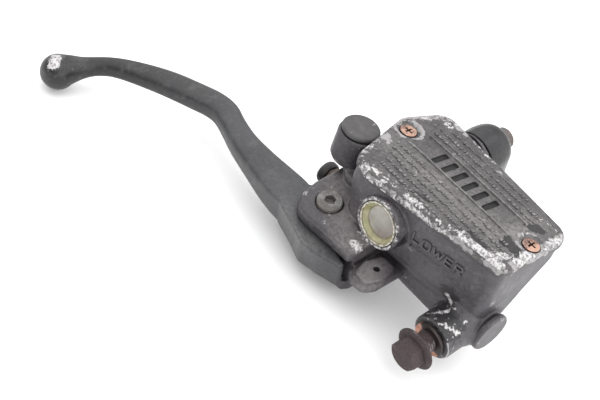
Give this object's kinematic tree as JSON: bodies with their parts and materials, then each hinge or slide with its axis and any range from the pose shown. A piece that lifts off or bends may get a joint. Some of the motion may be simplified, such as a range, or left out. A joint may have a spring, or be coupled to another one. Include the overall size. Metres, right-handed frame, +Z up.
{
  "type": "motorcycle brake master cylinder",
  "caption": "Handlebar brake master cylinder with a fluid reservoir, sight glass, hinged hand lever, bar clamp and a hose outlet with its hollow bolt.",
  "frame": {"origin": "on the handlebar axis, halfway along the clamp", "axes": "+X along the handlebar towards its middle, +Y towards the rider, +Z up, square to the flat top of the reservoir cover"},
  "size_m": [0.2457, 0.1559, 0.0681],
  "materials": {
    "cast_body": "worn dark grey paint on cast aluminium",
    "cast_cover": "grey cast cover with paint chipped to bare metal along the edges",
    "plate_plastic": "moulded black plastic",
    "diaphragm_rubber": "soft black rubber",
    "screw_steel_a": "zinc plated steel, rusted in the recess",
    "screw_steel_b": "zinc plated steel, rusted in the recess",
    "sight_glass_clear": "yellowed translucent window",
    "sight_ring_plastic": "pale worn ring",
    "shield_steel": "plain pressed steel",
    "piston_aluminium": "turned aluminium",
    "primary_cup_rubber": "black rubber seal",
    "secondary_cup_rubber": "black rubber seal",
    "spring_steel": "bright spring wire",
    "stop_washer_steel": "plain steel",
    "circlip_steel": "black phosphated steel",
    "boot_rubber": "matt black rubber",
    "lever_paint": "satin dark grey paint with small chips",
    "bush_brass": "plain bearing brass",
    "pivot_bolt_steel": "dull worn steel",
    "pivot_nut_steel": "dull worn steel",
    "adjuster_steel": "blackened steel",
    "adjuster_nut_steel": "blackened steel",
    "adjuster_cap_rubber": "black rubber",
    "clamp_cap_paint": "semi-gloss black paint",
    "clamp_screw_steel_a": "dark oxidised steel",
    "clamp_screw_steel_b": "dark oxidised steel",
    "banjo_bolt_steel": "dark oxidised steel",
    "washer_copper": "dull copper",
    "mirror_plug_rubber": "black rubber, scuffed"
  },
  "bodies": {
    "housing": {"master_body": "cast_body", "reservoir_cover": "cast_cover", "diaphragm_plate": "plate_plastic", "diaphragm": "diaphragm_rubber", "cover_screw_outboard": "screw_steel_a", "cover_screw_inboard": "screw_steel_b", "sight_glass": "sight_glass_clear", "sight_glass_ring": "sight_ring_plastic", "port_shield": "shield_steel", "return_spring": "spring_steel", "piston_stop_washer": "stop_washer_steel", "piston_circlip": "circlip_steel", "dust_boot": "boot_rubber", "lever_pivot_bolt": "pivot_bolt_steel", "lever_pivot_nut": "pivot_nut_steel", "clamp_cap": "clamp_cap_paint", "clamp_screw_upper": "clamp_screw_steel_a", "clamp_screw_lower": "clamp_screw_steel_b", "banjo_bolt": "banjo_bolt_steel", "sealing_washer": "washer_copper", "mirror_hole_plug": "mirror_plug_rubber"},
    "lever": {"brake_lever": "lever_paint", "lever_bush": "bush_brass", "adjuster_screw": "adjuster_steel", "adjuster_lock_nut": "adjuster_nut_steel", "adjuster_cap": "adjuster_cap_rubber"},
    "plunger": {"piston": "piston_aluminium", "primary_cup": "primary_cup_rubber", "secondary_cup": "secondary_cup_rubber"}
  },
  "joints": [
    {"name": "lever_pivot", "type": "hinge", "parent": "housing", "child": "lever", "pos_m": [-0.0185, -0.06883, -0.01475], "axis": [0, 0.2079, -0.9781], "range_deg": [0, 18]},
    {"name": "piston_slide", "type": "slide", "parent": "housing", "child": "plunger", "axis": [1, 0, 0], "range_m": [0, 0.0068], "stiffness_N_per_m": 1200, "springref_m": -0.008, "deforming": ["return_spring", "dust_boot"]}
  ],
  "couplings": [
    {"joint": "piston_slide", "follows": "lever_pivot", "m_per_rad": 0.0208}
  ]
}
